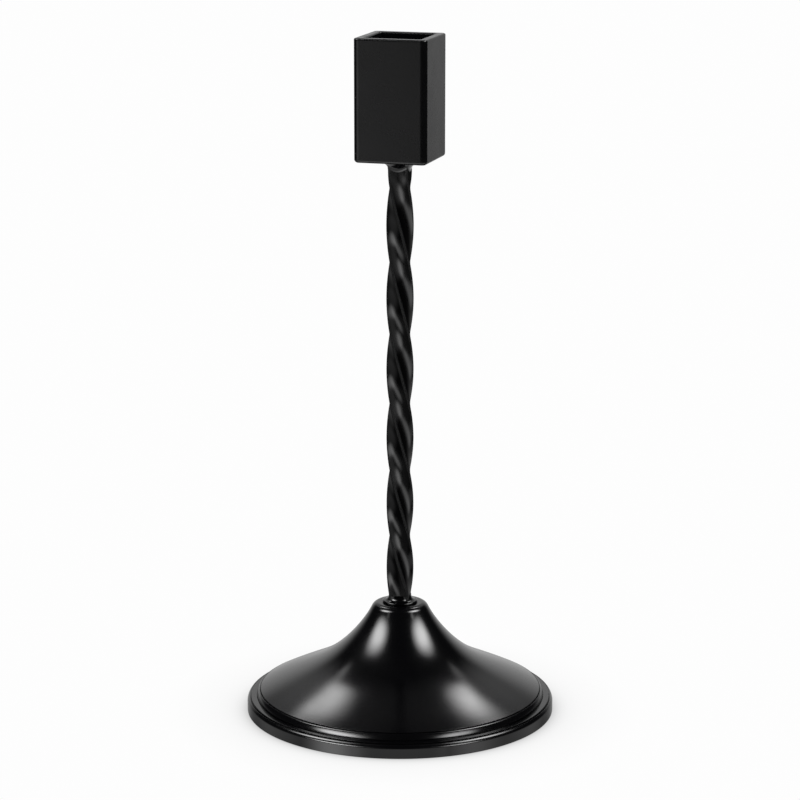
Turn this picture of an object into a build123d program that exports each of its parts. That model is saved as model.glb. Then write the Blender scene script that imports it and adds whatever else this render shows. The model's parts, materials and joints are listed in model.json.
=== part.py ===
from build123d import *

import os
from math import cos, radians, sin, sqrt

# A candlestick for one taper candle: a square cup on a twisted square bar, on a spun bell foot.
# Millimetres, +Z up. The origin is on the table under the bar, and the cup's sides lie along X and Y.

# Square cup
CUP_SIDE = 30.0
CUP_WALL = 3.5
CUP_HEIGHT = 49.25
CUP_CORNER_RADIUS = 2.2
CUP_BORE_CORNER_RADIUS = 0.8
CUP_RIM_ROUND = 0.7
CUP_FOOT_ROUND = 1.4
FLOOR_THICKNESS = 3.2
FLOOR_CLEARANCE = 0.1

# Twisted bar: the length of a quarter turn shortens from the top to the foot
BAR_WIDTH = 8.1
BAR_CORNER_RADIUS = 0.9
TWIST_LENGTH = 177.25
TWIST_RUN_IN = 10.9
QUARTER_TURN_TOP = 30.7
QUARTER_TURN_FOOT = 26.7
BAR_TOP_ANGLE = 8.3
SECTION_SPACING = 4.5
BAR_CLEARANCE = 0.06

# Conical collar under the cup
UPPER_COLLAR_HEIGHT = 3.3
UPPER_COLLAR_WALL = 2.2
UPPER_COLLAR_LIP = 0.3

# Turned ferrule on the foot: a bead, then a cove that runs up to the bar
FERRULE_WALL = 1.8
FERRULE_BEAD = 1.7
FERRULE_COVE = 1.4
FERRULE_LIP = 0.45
FERRULE_LAND = 0.2

# Spun bell: angles are measured down from the horizontal, and pulls are lengths along the end tangents of
# the trumpet curve, which the waist point draws inwards
BASE_WALL = 1.2
BASE_HEIGHT = 44.9
SHOULDER_FLAT_RADIUS = 8.35
SHOULDER_ROUND = 3.25
NECK_ANGLE = 64.4
NECK_PULL = 11.0
WAIST_INSET = 28.6
WAIST_HEIGHT = 18.0
SKIRT_ANGLE = 27.3
SKIRT_PULL = 25.7
BELL_EDGE_ROUND = 1.9
BELL_EDGE_LIFT = 1.0
RIM_RING_STEP = 0.75
RIM_RING_HEIGHT = 0.7
LEDGE_WIDTH = 3.15
FLANGE_RADIUS = 63.3
FLANGE_HEIGHT = 5.3
FLANGE_ROUND = 2.6
LIP_WIDTH = 9.0
LIP_ROUND = 0.35

# Felt disc under the lip
FELT_THICKNESS = 0.8
FELT_INSET = 0.3

# Countersunk screw down into the bar, with a hexagon socket
SCREW_RADIUS = 2.5
SCREW_LENGTH = 16.0
SCREW_HEAD_RADIUS = 4.7
SCREW_SOCKET_ACROSS = 3.0
SCREW_SOCKET_DEPTH = 1.8
SINK_CLEARANCE = 0.1

# Hexagon bolt up into the bar, with its washers
BOLT_RADIUS = 2.5
BOLT_LENGTH = 20.0
BOLT_HEAD_ACROSS = 8.0
BOLT_HEAD_HEIGHT = 3.5
CLAMP_WASHER_RADIUS = 7.0
CLAMP_WASHER_THICKNESS = 1.5
SPRING_WASHER_RADIUS = 4.6
SPRING_WASHER_THICKNESS = 1.4
SPRING_WASHER_SLIT = 1.0
HOLE_CLEARANCE = 0.25
THREAD_CLEARANCE = 0.05
DRILL_RUN_OUT = 2.0

# Heights of the stack, from the table up
LIP_BOTTOM = FELT_THICKNESS
LEDGE = LIP_BOTTOM + FLANGE_HEIGHT
BASE_TOP = LIP_BOTTOM + BASE_HEIGHT
FERRULE_HEIGHT = FERRULE_BEAD + FERRULE_COVE + FERRULE_LAND
TWIST_FOOT = BASE_TOP + FERRULE_HEIGHT
TWIST_TOP = TWIST_FOOT + TWIST_LENGTH
CUP_BOTTOM = TWIST_TOP + UPPER_COLLAR_HEIGHT
FLOOR_TOP = CUP_BOTTOM + FLOOR_THICKNESS

# The bell's rings step in from the flange
RIM_RING_RADIUS = FLANGE_RADIUS - LEDGE_WIDTH
BELL_RADIUS = RIM_RING_RADIUS - RIM_RING_STEP
WAIST_RADIUS = BELL_RADIUS - WAIST_INSET

# Sizes that several pieces share
CUP_BORE = CUP_SIDE - 2 * CUP_WALL
BAR_REACH = (BAR_WIDTH / 2 - BAR_CORNER_RADIUS) * sqrt(2) + BAR_CORNER_RADIUS
BOLT_HOLE_RADIUS = BOLT_RADIUS + HOLE_CLEARANCE
CLAMP_TOP = BASE_TOP - BASE_WALL
SPRING_TOP = CLAMP_TOP - CLAMP_WASHER_THICKNESS
BOLT_SEAT = SPRING_TOP - SPRING_WASHER_THICKNESS


def turned(edges):
    """Turns a closed outline, drawn as radius and height, round the stem's axis."""
    return revolve(Plane.XZ * make_face(edges), Axis.Z)


def cylinder(radius, low, high):
    """Round bar between two heights on the stem's axis."""
    return Pos(0, 0, low) * extrude(Circle(radius), high - low)


def turn_at(depth):
    """Angle of the bar's section at a depth below the top of its twist, which starts gently."""
    if depth < TWIST_RUN_IN:
        part = depth / TWIST_RUN_IN
        run = TWIST_RUN_IN * (part**3 - part**4 / 2)
    else:
        run = depth - TWIST_RUN_IN / 2
    whole_run = TWIST_LENGTH - TWIST_RUN_IN / 2
    tightening = (1 / QUARTER_TURN_FOOT - 1 / QUARTER_TURN_TOP) * run**2 / (2 * whole_run)
    return BAR_TOP_ANGLE + 90 * (run / QUARTER_TURN_TOP + tightening)


def bar_section(angle, height, clearance=0.0):
    """Rounded square of the bar, turned by an angle, at a height."""
    side = BAR_WIDTH + 2 * clearance
    square = RectangleRounded(side, side, BAR_CORNER_RADIUS + clearance)
    return Pos(0, 0, height) * Rot(0, 0, angle) * square


def cup_tube():
    """Square tube with rounded corners, an eased rim and a ground foot edge."""
    block = extrude(RectangleRounded(CUP_SIDE, CUP_SIDE, CUP_CORNER_RADIUS), CUP_HEIGHT)
    block = fillet(block.faces().sort_by(Axis.Z)[0].edges(), CUP_FOOT_ROUND)
    bore = extrude(RectangleRounded(CUP_BORE, CUP_BORE, CUP_BORE_CORNER_RADIUS), CUP_HEIGHT)
    tube = block - bore
    tube = fillet(tube.faces().sort_by(Axis.Z)[-1].edges(), CUP_RIM_ROUND)
    return Pos(0, 0, CUP_BOTTOM) * tube


def screw_outline(clearance):
    """Outline of the countersunk screw, or of its seat when a clearance is added."""
    shank = SCREW_RADIUS + clearance
    head = SCREW_HEAD_RADIUS + clearance
    low = FLOOR_TOP - SCREW_LENGTH
    cone_foot = FLOOR_TOP - (head - shank)
    points = [(0, low), (shank, low), (shank, cone_foot), (head, FLOOR_TOP), (0, FLOOR_TOP)]
    return Polyline(*points, close=True)


def cup_floor():
    """Plate in the tube's lower end, countersunk for the screw."""
    side = CUP_BORE - 2 * FLOOR_CLEARANCE
    plate = extrude(RectangleRounded(side, side, CUP_BORE_CORNER_RADIUS), FLOOR_THICKNESS)
    return Pos(0, 0, CUP_BOTTOM) * plate - turned(screw_outline(SINK_CLEARANCE))


def cup_screw():
    """Countersunk screw with a hexagon socket."""
    socket = RegularPolygon(SCREW_SOCKET_ACROSS / 2, 6, major_radius=False)
    recess = Pos(0, 0, FLOOR_TOP - SCREW_SOCKET_DEPTH) * extrude(socket, SCREW_SOCKET_DEPTH)
    return turned(screw_outline(0)) - recess


def upper_collar():
    """Cone from under the cup to the bar, whose edge rises and falls where it meets the bar's flats."""
    top_radius = BAR_REACH + UPPER_COLLAR_WALL
    foot_radius = BAR_WIDTH / 2 + UPPER_COLLAR_LIP
    points = [(0, TWIST_TOP), (foot_radius, TWIST_TOP), (top_radius, CUP_BOTTOM), (0, CUP_BOTTOM)]
    hole = extrude(bar_section(turn_at(0), TWIST_TOP, BAR_CLEARANCE), UPPER_COLLAR_HEIGHT)
    return turned(Polyline(*points, close=True)) - hole


def twisted_stem():
    """Square bar lofted through turned sections, with a plain drilled end inside each collar."""
    steps = max(2, round(TWIST_LENGTH / SECTION_SPACING))
    depths = [TWIST_LENGTH * step / steps for step in range(steps + 1)]
    twist = loft([bar_section(turn_at(depth), TWIST_TOP - depth) for depth in reversed(depths)])
    top_end = extrude(bar_section(turn_at(0), TWIST_TOP), UPPER_COLLAR_HEIGHT)
    foot_end = extrude(bar_section(turn_at(TWIST_LENGTH), BASE_TOP), FERRULE_HEIGHT)
    screw_depth = FLOOR_TOP - SCREW_LENGTH - DRILL_RUN_OUT
    bolt_depth = BOLT_SEAT + BOLT_LENGTH + DRILL_RUN_OUT
    screw_hole = cylinder(SCREW_RADIUS + THREAD_CLEARANCE, screw_depth, CUP_BOTTOM)
    bolt_hole = cylinder(BOLT_RADIUS + THREAD_CLEARANCE, BASE_TOP, bolt_depth)
    return twist + top_end + foot_end - screw_hole - bolt_hole


def lower_collar():
    """Ferrule on the bell's flat top: a half-round bead, a cove and a short land round the bar."""
    bead_middle = BAR_REACH + FERRULE_WALL - FERRULE_BEAD / 2
    bead_top = BASE_TOP + FERRULE_BEAD
    land_radius = BAR_WIDTH / 2 + FERRULE_LIP
    cove_top = bead_top + FERRULE_COVE
    cove_middle = (land_radius + FERRULE_COVE, cove_top)
    edges = [
        Line((0, BASE_TOP), (bead_middle, BASE_TOP)),
        CenterArc((bead_middle, BASE_TOP + FERRULE_BEAD / 2), FERRULE_BEAD / 2, -90, 180),
        Line((bead_middle, bead_top), (land_radius + FERRULE_COVE, bead_top)),
        CenterArc(cove_middle, FERRULE_COVE, 270, -90),
        Line((land_radius, cove_top), (land_radius, TWIST_FOOT)),
        Line((land_radius, TWIST_FOOT), (0, TWIST_FOOT)),
        Line((0, TWIST_FOOT), (0, BASE_TOP)),
    ]
    hole = extrude(bar_section(turn_at(TWIST_LENGTH), BASE_TOP, BAR_CLEARANCE), FERRULE_HEIGHT)
    return turned(edges) - hole


def bell_curve(inset):
    """Shoulder arc and trumpet curve of the bell, moved in by an inset, and the trumpet's lower end."""
    shoulder_radius = SHOULDER_ROUND - inset
    shoulder_middle = Vector(SHOULDER_FLAT_RADIUS, BASE_TOP - SHOULDER_ROUND)
    edge_middle = Vector(BELL_RADIUS - BELL_EDGE_ROUND, LEDGE + BELL_EDGE_LIFT)
    neck = radians(NECK_ANGLE)
    skirt = radians(SKIRT_ANGLE)
    start = shoulder_middle + Vector(sin(neck), cos(neck)) * shoulder_radius
    end = edge_middle + Vector(sin(skirt), cos(skirt)) * (BELL_EDGE_ROUND - inset)
    middle = (neck + skirt) / 2
    waist = Vector(WAIST_RADIUS, LIP_BOTTOM + WAIST_HEIGHT) - Vector(sin(middle), cos(middle)) * inset
    neck_pull = Vector(cos(neck), -sin(neck)) * NECK_PULL
    skirt_pull = Vector(cos(skirt), -sin(skirt)) * SKIRT_PULL
    shoulder = CenterArc(shoulder_middle, shoulder_radius, 90 - NECK_ANGLE, NECK_ANGLE)
    trumpet = Bezier(start, start + neck_pull, waist, end - skirt_pull, end)
    return shoulder, trumpet, end


def base_shell():
    """Spun sheet bell: flat top, rounded shoulder, trumpet, stepped rim and a lip turned in at the foot."""
    shoulder, trumpet, edge_start = bell_curve(0)
    inner_shoulder, inner_trumpet, inner_edge = bell_curve(BASE_WALL)
    edge_height = LEDGE + BELL_EDGE_LIFT
    edge_middle = (BELL_RADIUS - BELL_EDGE_ROUND, edge_height)
    edge_round = CenterArc(edge_middle, BELL_EDGE_ROUND, 0, 90 - SKIRT_ANGLE)
    ring_middle = RIM_RING_RADIUS - RIM_RING_HEIGHT / 2
    ring_top = LEDGE + RIM_RING_HEIGHT
    flange_round_top = FLANGE_RADIUS - FLANGE_ROUND
    lip_top = LIP_BOTTOM + BASE_WALL
    under_ledge = LEDGE - BASE_WALL
    inner_flange = FLANGE_RADIUS - BASE_WALL
    edges = [
        Line((BOLT_HOLE_RADIUS, CLAMP_TOP), (BOLT_HOLE_RADIUS, BASE_TOP)),
        Line((BOLT_HOLE_RADIUS, BASE_TOP), (SHOULDER_FLAT_RADIUS, BASE_TOP)),
        shoulder,
        trumpet,
        edge_round,
        Line((BELL_RADIUS, edge_height), (BELL_RADIUS, ring_top)),
        Line((BELL_RADIUS, ring_top), (ring_middle, ring_top)),
        CenterArc((ring_middle, LEDGE + RIM_RING_HEIGHT / 2), RIM_RING_HEIGHT / 2, -90, 180),
        Line((ring_middle, LEDGE), (flange_round_top, LEDGE)),
        CenterArc((flange_round_top, LEDGE - FLANGE_ROUND), FLANGE_ROUND, 0, 90),
        Line((FLANGE_RADIUS, LEDGE - FLANGE_ROUND), (FLANGE_RADIUS, LIP_BOTTOM + LIP_ROUND)),
        CenterArc((FLANGE_RADIUS - LIP_ROUND, LIP_BOTTOM + LIP_ROUND), LIP_ROUND, -90, 90),
        Line((FLANGE_RADIUS - LIP_ROUND, LIP_BOTTOM), (FLANGE_RADIUS - LIP_WIDTH, LIP_BOTTOM)),
        Line((FLANGE_RADIUS - LIP_WIDTH, LIP_BOTTOM), (FLANGE_RADIUS - LIP_WIDTH, lip_top)),
        Line((FLANGE_RADIUS - LIP_WIDTH, lip_top), (inner_flange, lip_top)),
        Line((inner_flange, lip_top), (inner_flange, under_ledge)),
        Line((inner_flange, under_ledge), (BELL_RADIUS - BASE_WALL, under_ledge)),
        Line((BELL_RADIUS - BASE_WALL, under_ledge), inner_edge),
        inner_trumpet,
        inner_shoulder,
        Line((SHOULDER_FLAT_RADIUS, CLAMP_TOP), (BOLT_HOLE_RADIUS, CLAMP_TOP)),
    ]
    return turned(edges)


def clamp_washer():
    """Thick washer under the bell's top."""
    disc = cylinder(CLAMP_WASHER_RADIUS, SPRING_TOP, CLAMP_TOP)
    return disc - cylinder(BOLT_HOLE_RADIUS, SPRING_TOP, CLAMP_TOP)


def spring_washer():
    """Split lock washer, pressed flat."""
    disc = cylinder(SPRING_WASHER_RADIUS, BOLT_SEAT, SPRING_TOP)
    slit = Rectangle(SPRING_WASHER_RADIUS, SPRING_WASHER_SLIT, align=(Align.MIN, Align.CENTER))
    cut = Pos(0, 0, BOLT_SEAT) * extrude(slit, SPRING_WASHER_THICKNESS)
    return disc - cylinder(BOLT_HOLE_RADIUS, BOLT_SEAT, SPRING_TOP) - cut


def base_bolt():
    """Hexagon bolt from inside the bell up into the bar."""
    hexagon = RegularPolygon(BOLT_HEAD_ACROSS / 2, 6, major_radius=False)
    head = Pos(0, 0, BOLT_SEAT - BOLT_HEAD_HEIGHT) * extrude(hexagon, BOLT_HEAD_HEIGHT)
    return head + cylinder(BOLT_RADIUS, BOLT_SEAT, BOLT_SEAT + BOLT_LENGTH)


def felt_pad():
    """Felt disc glued under the lip."""
    return cylinder(FLANGE_RADIUS - FELT_INSET, 0, FELT_THICKNESS)


def main():
    """Writes each piece to its own file."""
    os.makedirs("parts", exist_ok=True)
    pieces = [
        cup_tube,
        cup_floor,
        cup_screw,
        upper_collar,
        twisted_stem,
        lower_collar,
        base_shell,
        clamp_washer,
        spring_washer,
        base_bolt,
        felt_pad,
    ]
    for piece in pieces:
        export_step(piece(), f"parts/{piece.__name__}.step")


main()
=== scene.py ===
"""A black candlestick: a square cup, a twisted bar and a spun bell foot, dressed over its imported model."""

import json
import logging
from collections.abc import Callable, Sequence
from dataclasses import dataclass, field
from enum import Enum
from math import acos, atan2, comb, cos, degrees, hypot, pi, radians, sin, sqrt, tan
from typing import Any

import bmesh
import bpy
from bpy.types import Collection, ID, Light, Material, Node, NodeOutputs, NodeSocket, NodeTree, Object
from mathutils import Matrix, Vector

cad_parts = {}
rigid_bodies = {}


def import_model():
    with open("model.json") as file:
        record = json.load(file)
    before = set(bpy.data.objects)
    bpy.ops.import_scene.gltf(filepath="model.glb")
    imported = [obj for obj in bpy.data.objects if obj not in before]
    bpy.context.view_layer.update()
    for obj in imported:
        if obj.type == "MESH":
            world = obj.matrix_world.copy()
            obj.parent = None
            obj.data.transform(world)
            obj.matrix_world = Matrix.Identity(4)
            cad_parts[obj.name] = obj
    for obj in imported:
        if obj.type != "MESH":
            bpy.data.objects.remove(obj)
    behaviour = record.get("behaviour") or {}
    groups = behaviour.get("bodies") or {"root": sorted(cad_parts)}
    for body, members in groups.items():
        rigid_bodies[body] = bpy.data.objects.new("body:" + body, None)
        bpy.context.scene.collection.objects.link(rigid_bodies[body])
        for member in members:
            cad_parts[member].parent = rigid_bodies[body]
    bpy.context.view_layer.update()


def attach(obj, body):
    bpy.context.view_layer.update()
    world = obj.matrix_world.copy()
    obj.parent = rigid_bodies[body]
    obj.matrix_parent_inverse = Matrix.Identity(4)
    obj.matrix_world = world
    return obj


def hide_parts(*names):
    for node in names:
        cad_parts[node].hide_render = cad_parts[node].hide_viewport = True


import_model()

LOG = logging.getLogger("candlestick")
MM = 0.001

# Parts round the axis of a large, a middling and a small turned piece
LARGE_ROUND, COLLAR_ROUND, SMALL_ROUND = 288, 192, 96

# Distance in millimetres from a rounding to the row of points that keeps the face beside it flat
SUPPORT = 0.35

# Kinds of nodes that come back often, and the numbers of the colour mix's inputs, whose names repeat
NOISE = "ShaderNodeTexNoise"
BUMP = "ShaderNodeBump"
MAP_RANGE = "ShaderNodeMapRange"
MATH = "ShaderNodeMath"
VECTOR_MATH = "ShaderNodeVectorMath"
MIX_SHARE, MIX_A, MIX_B = 0, 6, 7

PAINT_IOR = 1.5

Point2 = tuple[float, float]


class Slot(Enum):
    """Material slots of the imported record."""

    CUP = "cup"
    STEM = "stem"
    BASE = "base"
    FASTENER = "fastener"
    FELT = "felt"


def linear(hex_colour: str) -> tuple[float, float, float, float]:
    """Turn an sRGB hex colour into linear light.

    Args:
        hex_colour: Colour such as "#1a1a1a".

    Returns:
        Red, green, blue and a full alpha, in linear light.
    """
    parts = [int(hex_colour[i : i + 2], 16) / 255 for i in (1, 3, 5)]
    light = [p / 12.92 if p <= 0.04045 else ((p + 0.055) / 1.055) ** 2.4 for p in parts]
    return light[0], light[1], light[2], 1.0


def add_node(
    tree: NodeTree, kind: str, inputs: dict[str | int, Any] | None = None, **settings: Any
) -> Node:
    """Add one node, with its settings, its values and its links.

    Args:
        tree: Node tree that gets the node.
        kind: Blender's name for the kind of node.
        inputs: Value, socket or node for each input, by name or number; of a node, its first output in use.
        **settings: Properties of the node.

    Returns:
        The new node.
    """
    node = tree.nodes.new(kind)
    for name, value in settings.items():
        setattr(node, name, value)
    for key, value in (inputs or {}).items():
        if isinstance(value, Node):
            value = next(out for out in value.outputs if out.enabled)
        if isinstance(value, NodeSocket):
            tree.links.new(value, node.inputs[key])
        else:
            node.inputs[key].default_value = value
    return node


def new_surface(name: str) -> tuple[Material, NodeTree, NodeSocket]:
    """Start a material.

    Args:
        name: Name of the material.

    Returns:
        The material, its tree, and the socket that gives a point's place in its piece.
    """
    material = bpy.data.materials.new(name)
    material.use_nodes = True
    tree = material.node_tree
    tree.nodes.clear()
    return material, tree, add_node(tree, "ShaderNodeTexCoord").outputs["Object"]


def close_surface(material: Material, looks: dict[str, Any]) -> Material:
    """End a material with its one shader.

    Args:
        material: Material whose tree has the patterns.
        looks: Value, socket or node for each of the shader's inputs.

    Returns:
        The same material.
    """
    shader = add_node(material.node_tree, "ShaderNodeBsdfPrincipled", looks)
    add_node(material.node_tree, "ShaderNodeOutputMaterial", {"Surface": shader})
    return material


def axis_distance(tree: NodeTree, place: NodeSocket) -> Node:
    """Add the distance of a place from the upright axis, in metres."""
    level = add_node(tree, VECTOR_MATH, {0: place, 1: (1.0, 1.0, 0.0)}, operation="MULTIPLY")
    return add_node(tree, VECTOR_MATH, {0: level}, operation="LENGTH")


def per_metre(size_mm: float) -> float:
    """Texture scale that gives features of a size in millimetres."""
    return 1.0 / (size_mm * MM)


@dataclass(frozen=True)
class Finish:
    """What every finish has: a colour, and a roughness that swings with a noise pattern."""

    colour: str
    roughness: float
    roughness_swing: float = 0.0
    noise_low: float = 0.3
    noise_high: float = 0.7

    def swing(self, tree: NodeTree, pattern: Node) -> Node:
        """Add the roughness at each point.

        Args:
            tree: Tree of the material.
            pattern: Noise that the roughness follows.

        Returns:
            The node that gives the roughness.
        """
        ends = {
            "From Min": self.noise_low,
            "From Max": self.noise_high,
            "To Min": self.roughness - self.roughness_swing,
            "To Max": self.roughness + self.roughness_swing,
        }
        return add_node(tree, MAP_RANGE, {"Value": pattern, **ends})


@dataclass(frozen=True)
class PowderCoat(Finish):
    """Black polyester powder, sprayed dry and baked on steel.

    The melted powder leaves a fine pebbled skin, so the eye sees a low, even sheen with a faint grain.
    """

    colour: str = "#060607"
    deep_colour: str = "#030304"
    roughness: float = 0.26
    roughness_swing: float = 0.03
    grain_mm: float = 0.8
    grain_depth_mm: float = 0.006
    cloud_mm: float = 14.0

    def material(self) -> Material:
        """Make the coat's material.

        Returns:
            The material.
        """
        material, tree, place = new_surface("black_powder_coat")
        fine = {"Scale": per_metre(self.grain_mm), "Detail": 2.0, "Roughness": 0.55}
        grain = add_node(tree, NOISE, {"Vector": place, **fine})
        cloud = add_node(tree, NOISE, {"Vector": place, "Scale": per_metre(self.cloud_mm), "Detail": 3.0})
        colours = {MIX_SHARE: grain, MIX_A: linear(self.deep_colour), MIX_B: linear(self.colour)}
        tint = add_node(tree, "ShaderNodeMix", colours, data_type="RGBA")
        bump = add_node(tree, BUMP, {"Height": grain, "Distance": self.grain_depth_mm * MM})
        looks = {"Base Color": tint, "Roughness": self.swing(tree, cloud), "Normal": bump, "IOR": PAINT_IOR}
        return close_surface(material, looks)


@dataclass(frozen=True)
class SatinPaint(Finish):
    """Black satin enamel, sprayed on hot-rolled steel bar.

    Rolling leaves faint lines along the bar, which wind round it with the twist and show through the paint.
    The paint draws back from the edges and dries duller there, so they catch no sharp glint.
    """

    colour: str = "#040405"
    roughness: float = 0.15
    roughness_swing: float = 0.03
    edge_start_mm: float = 5.1
    edge_end_mm: float = 5.35
    edge_dulling: float = 0.35
    line_mm: float = 0.9
    line_length_mm: float = 60.0
    line_depth_mm: float = 0.006
    peel_mm: float = 1.6
    peel_depth_mm: float = 0.002

    def material(self) -> Material:
        """Make the paint's material, which reads where a point lay before the bar was twisted.

        Returns:
            The material.
        """
        material, tree, place = new_surface("black_satin_enamel")
        unwound = add_node(tree, "ShaderNodeAttribute", attribute_name="unwound").outputs["Vector"]
        across, along = per_metre(self.line_mm), per_metre(self.line_length_mm)
        drawn = add_node(tree, "ShaderNodeMapping", {"Vector": unwound, "Scale": (across, across, along)})
        lines = add_node(tree, NOISE, {"Vector": drawn, "Scale": 1.0, "Detail": 2.0})
        peel = add_node(tree, NOISE, {"Vector": place, "Scale": per_metre(self.peel_mm), "Detail": 1.0})
        ends = {"From Min": self.edge_start_mm * MM, "From Max": self.edge_end_mm * MM}
        edge = add_node(
            tree,
            MAP_RANGE,
            {"Value": axis_distance(tree, unwound), **ends, "To Max": self.edge_dulling},
            interpolation_type="SMOOTHSTEP",
        )
        dull = add_node(tree, MATH, {0: self.swing(tree, lines), 1: edge}, operation="ADD")
        skin = add_node(tree, BUMP, {"Height": peel, "Distance": self.peel_depth_mm * MM})
        rolled = add_node(tree, BUMP, {"Height": lines, "Distance": self.line_depth_mm * MM, "Normal": skin})
        looks = {"Base Color": linear(self.colour), "Roughness": dull, "Normal": rolled, "IOR": PAINT_IOR}
        return close_surface(material, looks)


@dataclass(frozen=True)
class GlossPaint(Finish):
    """Black gloss enamel, sprayed on spun steel sheet.

    It mirrors the lamps softly; a little orange peel and the spinning tool's faint rings break the mirror.
    """

    colour: str = "#030304"
    roughness: float = 0.16
    roughness_swing: float = 0.03
    peel_mm: float = 2.4
    peel_depth_mm: float = 0.003
    ring_mm: float = 2.1
    ring_depth_mm: float = 0.0012
    cloud_mm: float = 18.0

    def material(self) -> Material:
        """Make the paint's material.

        Returns:
            The material.
        """
        material, tree, place = new_surface("black_gloss_enamel")
        rings = add_node(
            tree,
            NOISE,
            {"W": axis_distance(tree, place), "Scale": per_metre(self.ring_mm), "Detail": 1.0},
            noise_dimensions="1D",
        )
        peel = add_node(tree, NOISE, {"Vector": place, "Scale": per_metre(self.peel_mm), "Detail": 1.0})
        cloud = add_node(tree, NOISE, {"Vector": place, "Scale": per_metre(self.cloud_mm), "Detail": 3.0})
        dull = self.swing(tree, cloud)
        spun = add_node(tree, BUMP, {"Height": rings, "Distance": self.ring_depth_mm * MM})
        skin = add_node(tree, BUMP, {"Height": peel, "Distance": self.peel_depth_mm * MM, "Normal": spun})
        looks = {"Base Color": linear(self.colour), "Roughness": dull, "Normal": skin, "IOR": PAINT_IOR}
        return close_surface(material, looks)


@dataclass(frozen=True)
class ZincPlate(Finish):
    """Bright zinc plate on machined steel.

    The plating is a pale, faintly blue grey with a cloudy, half-dull shine, smoothest where it is palest.
    """

    colour: str = "#b9bdc2"
    dark_colour: str = "#8f9499"
    roughness: float = 0.34
    roughness_swing: float = -0.1
    spangle_mm: float = 1.1
    tool_mm: float = 0.16
    tool_depth_mm: float = 0.004

    def material(self) -> Material:
        """Make the plating's material.

        Returns:
            The material.
        """
        material, tree, place = new_surface("zinc_plated_steel")
        cloudy = {"Scale": per_metre(self.spangle_mm), "Detail": 3.0, "Roughness": 0.6}
        spangle = add_node(tree, NOISE, {"Vector": place, **cloudy})
        tool = add_node(tree, NOISE, {"Vector": place, "Scale": per_metre(self.tool_mm), "Detail": 1.0})
        colours = {MIX_SHARE: spangle, MIX_A: linear(self.dark_colour), MIX_B: linear(self.colour)}
        tint = add_node(tree, "ShaderNodeMix", colours, data_type="RGBA")
        bump = add_node(tree, BUMP, {"Height": tool, "Distance": self.tool_depth_mm * MM})
        looks = {"Base Color": tint, "Roughness": self.swing(tree, spangle), "Normal": bump, "Metallic": 1.0}
        return close_surface(material, looks)


@dataclass(frozen=True)
class WoolFelt(Finish):
    """Black pressed wool felt.

    Short matted fibres lie every way, so the eye sees a dull, slightly hairy black with paler strands.
    """

    colour: str = "#101011"
    strand_colour: str = "#2b2b2c"
    strand_low: float = 0.15
    strand_high: float = 0.45
    roughness: float = 0.95
    sheen: float = 0.25
    mat_mm: float = 2.6
    fibre_mm: float = 0.3
    fibre_depth_mm: float = 0.12

    def material(self) -> Material:
        """Make the felt's material.

        Returns:
            The material.
        """
        material, tree, place = new_surface("black_wool_felt")
        matted = {"Scale": per_metre(self.mat_mm), "Detail": 4.0, "Distortion": 1.4}
        mat = add_node(tree, NOISE, {"Vector": place, **matted})
        hairy = {"Scale": per_metre(self.fibre_mm), "Detail": 2.0, "Distortion": 2.5}
        fibre = add_node(tree, NOISE, {"Vector": place, **hairy})
        strands = add_node(tree, MATH, {0: mat, 1: fibre}, operation="MULTIPLY")
        ends = {"From Min": self.strand_low, "From Max": self.strand_high}
        share = add_node(tree, MAP_RANGE, {"Value": strands, **ends})
        colours = {MIX_SHARE: share, MIX_A: linear(self.colour), MIX_B: linear(self.strand_colour)}
        tint = add_node(tree, "ShaderNodeMix", colours, data_type="RGBA")
        bump = add_node(tree, BUMP, {"Height": strands, "Distance": self.fibre_depth_mm * MM})
        looks = {"Base Color": tint, "Roughness": self.roughness, "Normal": bump, "Sheen Weight": self.sheen}
        return close_surface(material, looks)


@dataclass
class Finishes:
    """One material for each finish on the candlestick."""

    powder: Material = field(default_factory=lambda: PowderCoat().material())
    satin: Material = field(default_factory=lambda: SatinPaint().material())
    gloss: Material = field(default_factory=lambda: GlossPaint().material())
    zinc: Material = field(default_factory=lambda: ZincPlate().material())
    felt: Material = field(default_factory=lambda: WoolFelt().material())


def arc(middle: Point2, radius: float, start: float, sweep: float, steps: int) -> list[Point2]:
    """Points on an arc.

    Args:
        middle: Centre of the arc.
        radius: Radius of the arc.
        start: First angle in degrees.
        sweep: Angle that the arc covers in degrees.
        steps: Number of parts.

    Returns:
        The points from the first angle to the last.
    """
    angles = [radians(start + sweep * i / steps) for i in range(steps + 1)]
    return [(middle[0] + radius * cos(a), middle[1] + radius * sin(a)) for a in angles]


def bezier(controls: Sequence[Point2], steps: int) -> list[Point2]:
    """Points on a Bezier curve of any degree.

    Args:
        controls: Control points.
        steps: Number of parts.

    Returns:
        The points from the first control point to the last.
    """
    degree = len(controls) - 1
    points = []
    for i in range(steps + 1):
        t = i / steps
        weights = [comb(degree, k) * t**k * (1 - t) ** (degree - k) for k in range(degree + 1)]
        points.append(tuple(sum(w * c[axis] for w, c in zip(weights, controls)) for axis in (0, 1)))
    return points


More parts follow.
